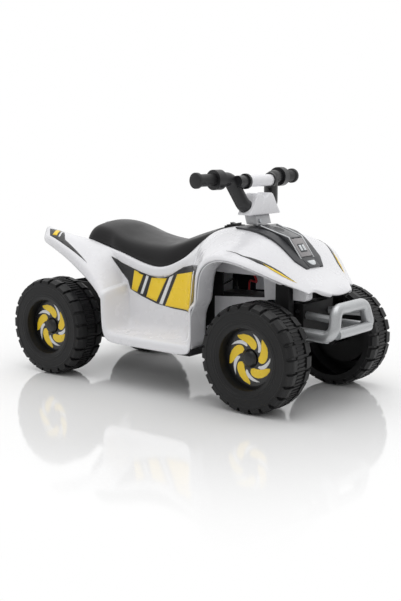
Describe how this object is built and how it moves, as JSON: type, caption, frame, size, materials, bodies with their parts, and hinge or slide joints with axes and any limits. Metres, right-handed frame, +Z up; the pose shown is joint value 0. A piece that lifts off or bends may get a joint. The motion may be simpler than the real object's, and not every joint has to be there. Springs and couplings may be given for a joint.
{
  "type": "kids quad bike",
  "caption": "Toddler's electric ride-on quad bike with lugged moulded wheels, handlebar steering through a crank and tie rod, driven rear axle, saddle, footwells and hoop bumper.",
  "frame": {"origin": "on the ground under the middle of the overall box", "axes": "+X forwards, +Y to the rider's left, +Z up"},
  "size_m": [0.702, 0.343, 0.41],
  "materials": {
    "body_white": "glossy moulded white",
    "seat_black": "satin grained black",
    "console_charcoal": "satin charcoal",
    "block_grey": "metallic grey paint on plastic",
    "lens_pale": "pale translucent look",
    "chassis_black": "matt black",
    "bumper_silver": "silver paint on plastic",
    "battery_case": "dark grey case",
    "lead_red": "red insulation",
    "lead_black": "black insulation",
    "gearbox_grey": "dark grey case",
    "bright_steel": "zinc plated",
    "bush_natural": "natural bearing plastic",
    "bar_black": "satin black",
    "grip_rubber": "matt black",
    "wheel_black": "matt moulded black",
    "trim_face": "printed trim ring",
    "cap_black": "satin black"
  },
  "bodies": {
    "chassis": {"body_shell": "body_white", "bonnet": "body_white", "seat": "seat_black", "console_panel": "console_charcoal", "headlight_block": "block_grey", "headlight_lens": "lens_pale", "chassis_tray": "chassis_black", "front_axle_beam": "chassis_black", "bumper": "bumper_silver", "battery": "battery_case", "lead_red": "lead_red", "lead_black": "lead_black", "gearbox_case": "gearbox_grey", "drive_motor": "bright_steel", "rear_bushes": "bush_natural", "column_bush_upper": "bush_natural", "column_bush_lower": "bush_natural", "switch_bezel": "chassis_black", "charge_socket": "chassis_black", "body_screws": "bright_steel", "bumper_screws": "bright_steel"},
    "steering": {"steering_column": "bright_steel", "stem_block": "block_grey", "stem_screw": "bright_steel", "clamp_cover": "body_white", "bar_left": "bar_black", "bar_right": "bar_black", "grip_left": "grip_rubber", "grip_right": "grip_rubber", "crossbar": "body_white", "crossbar_rings": "bar_black"},
    "thumb_button": {"throttle_button": "bar_black"},
    "rocker": {"direction_rocker": "bar_black"},
    "knuckle_left": {"knuckle_left": "bright_steel", "nut_front_left": "bright_steel"},
    "knuckle_right": {"knuckle_right": "bright_steel", "nut_front_right": "bright_steel"},
    "tie_rod": {"tie_rod": "bright_steel"},
    "front_wheel_left": {"wheel_front_left": "wheel_black", "trim_front_left": "trim_face", "hub_cap_front_left": "cap_black", "bush_front_left": "bush_natural"},
    "front_wheel_right": {"wheel_front_right": "wheel_black", "trim_front_right": "trim_face", "hub_cap_front_right": "cap_black", "bush_front_right": "bush_natural"},
    "rear_drive": {"rear_axle": "bright_steel", "rear_nuts": "bright_steel", "wheel_rear_left": "wheel_black", "trim_rear_left": "trim_face", "hub_cap_rear_left": "cap_black", "wheel_rear_right": "wheel_black", "trim_rear_right": "trim_face", "hub_cap_rear_right": "cap_black"}
  },
  "joints": [
    {"name": "steering_turn", "type": "hinge", "parent": "chassis", "child": "steering", "pos_m": [0.13, 0, 0.33], "axis": [-0.2924, 0, 0.9563], "range_deg": [-18, 18]},
    {"name": "knuckle_left_turn", "type": "hinge", "parent": "chassis", "child": "knuckle_left", "pos_m": [0.232, 0.088, 0.1], "axis": [0, 0, 1], "range_deg": [-18, 18]},
    {"name": "knuckle_right_turn", "type": "hinge", "parent": "chassis", "child": "knuckle_right", "pos_m": [0.232, -0.088, 0.1], "axis": [0, 0, 1], "range_deg": [-18, 18]},
    {"name": "tie_rod_turn", "type": "hinge", "parent": "knuckle_right", "child": "tie_rod", "pos_m": [0.192, -0.088, 0.08], "axis": [0, 0, 1], "range_deg": [-18, 18]},
    {"name": "front_left_spin", "type": "hinge", "parent": "knuckle_left", "child": "front_wheel_left", "pos_m": [0.232, 0.1365, 0.095], "axis": [0, 1, 0], "continuous": true},
    {"name": "front_right_spin", "type": "hinge", "parent": "knuckle_right", "child": "front_wheel_right", "pos_m": [0.232, -0.1365, 0.095], "axis": [0, 1, 0], "continuous": true},
    {"name": "rear_axle_spin", "type": "hinge", "parent": "chassis", "child": "rear_drive", "pos_m": [-0.256, 0, 0.095], "axis": [0, 1, 0], "continuous": true},
    {"name": "throttle_button_press", "type": "slide", "parent": "steering", "child": "thumb_button", "axis": [1, 0, 0], "range_m": [0, 0.003]},
    {"name": "direction_rocker_tilt", "type": "hinge", "parent": "chassis", "child": "rocker", "pos_m": [0.086, 0, 0.301], "axis": [0, 1, 0], "range_deg": [-8, 8]}
  ],
  "couplings": [
    {"joint": "knuckle_left_turn", "follows": "steering_turn", "ratio": 1},
    {"joint": "knuckle_right_turn", "follows": "steering_turn", "ratio": 1},
    {"joint": "tie_rod_turn", "follows": "steering_turn", "ratio": -1}
  ]
}
